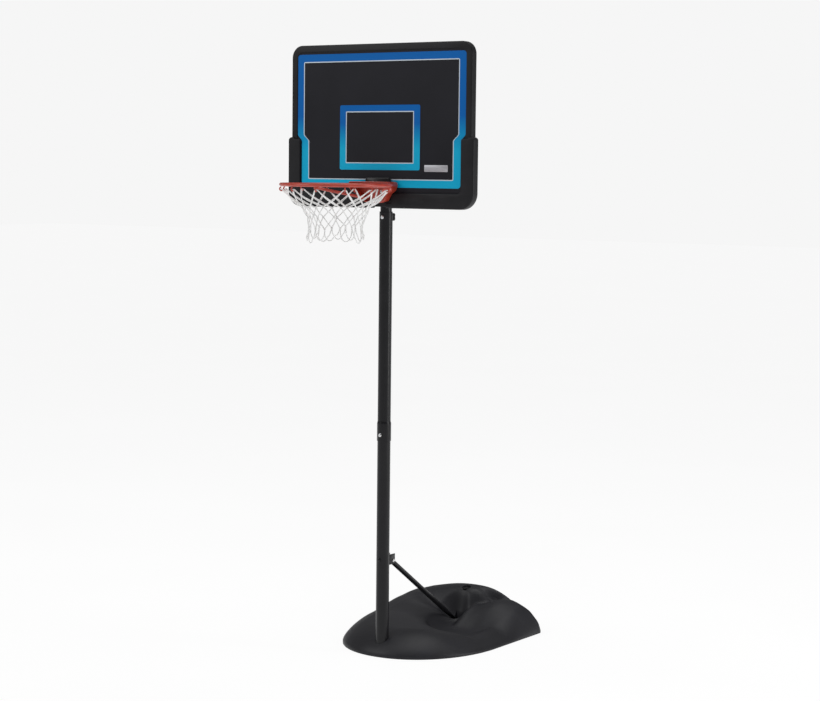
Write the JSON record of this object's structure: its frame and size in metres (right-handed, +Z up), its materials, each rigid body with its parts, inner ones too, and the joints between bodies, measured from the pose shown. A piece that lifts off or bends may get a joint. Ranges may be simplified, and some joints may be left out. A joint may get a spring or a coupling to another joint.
{
  "type": "portable basketball hoop",
  "caption": "Free-standing youth basketball hoop on a fillable tank base, with a braced telescoping pole, framed backboard, rim and net.",
  "frame": {"origin": "on the floor, on the pole's axis", "axes": "+Z up along the pole, -Y towards the rim, +Y towards the rear of the base, X = 0 through the pole, rim and strut"},
  "size_m": [0.813, 1.2187, 2.2484],
  "materials": {
    "tank_plastic": "blow-moulded polyethylene, satin",
    "knob_plastic": "moulded black plastic",
    "powder_coat": "black powder coat, semi-gloss",
    "frame_plastic": "moulded black plastic",
    "bumper_plastic": "moulded black plastic, satin",
    "panel_plastic": "charcoal sheet with printed blue and white bands",
    "trim_plate": "plain light grey",
    "rim_paint": "orange-red paint on steel",
    "net_cord": "white braided cord",
    "zinc": "zinc plated"
  },
  "bodies": {
    "base": {"base_tank": "tank_plastic", "section_joint_bolt": "zinc", "section_joint_nut": "zinc", "clevis_bolt": "powder_coat", "clevis_nut": "zinc", "pole_bottom_tube": "powder_coat", "pole_foot_plug": "knob_plastic", "pole_middle_tube": "powder_coat", "guide_bushing": "knob_plastic", "height_stop_bolt": "zinc", "knob_weld_nut": "zinc", "strut": "powder_coat", "strut_clevis": "powder_coat", "strut_cross_bolt": "zinc", "strut_cross_nut": "zinc", "strut_toe_bolt": "zinc"},
    "mast": {"pole_top_tube": "powder_coat", "pole_top_cap": "knob_plastic", "board_frame": "frame_plastic", "board_panel": "panel_plastic", "board_bumper_left": "bumper_plastic", "board_bumper_right": "bumper_plastic", "blank_trim_plate": "trim_plate", "pole_saddle_lower": "powder_coat", "saddle_bolt_lower_left": "zinc", "saddle_bolt_lower_right": "zinc", "pole_saddle_upper": "powder_coat", "saddle_bolt_upper_left": "zinc", "saddle_bolt_upper_right": "zinc", "rim_bolt_left": "zinc", "rim_bolt_right": "zinc", "rim_mount_plate": "powder_coat", "rim_bracket": "rim_paint", "rim_ring": "rim_paint", "net": "net_cord", "rim_brace_left": "rim_paint", "rim_brace_right": "rim_paint", "net_hook_01": "rim_paint", "net_hook_02": "rim_paint", "net_hook_03": "rim_paint", "net_hook_04": "rim_paint", "net_hook_05": "rim_paint", "net_hook_06": "rim_paint", "net_hook_07": "rim_paint", "net_hook_08": "rim_paint", "net_hook_09": "rim_paint", "net_hook_10": "rim_paint", "net_hook_11": "rim_paint", "net_hook_12": "rim_paint"},
    "height_knob": {"height_knob": "knob_plastic", "height_knob_screw": "zinc"},
    "filler_cap": {"filler_cap": "knob_plastic"}
  },
  "joints": [
    {"name": "height_adjust", "type": "slide", "parent": "base", "child": "mast", "axis": [0, 0, 1], "range_m": [0, 0.6096]},
    {"name": "height_knob_turn", "type": "hinge", "parent": "base", "child": "height_knob", "pos_m": [0, 0.02415, 1.623], "axis": [0, 1, 0], "continuous": true},
    {"name": "filler_cap_turn", "type": "hinge", "parent": "base", "child": "filler_cap", "pos_m": [0, 0.59, 0.1454], "axis": [0, 0, 1], "continuous": true}
  ]
}
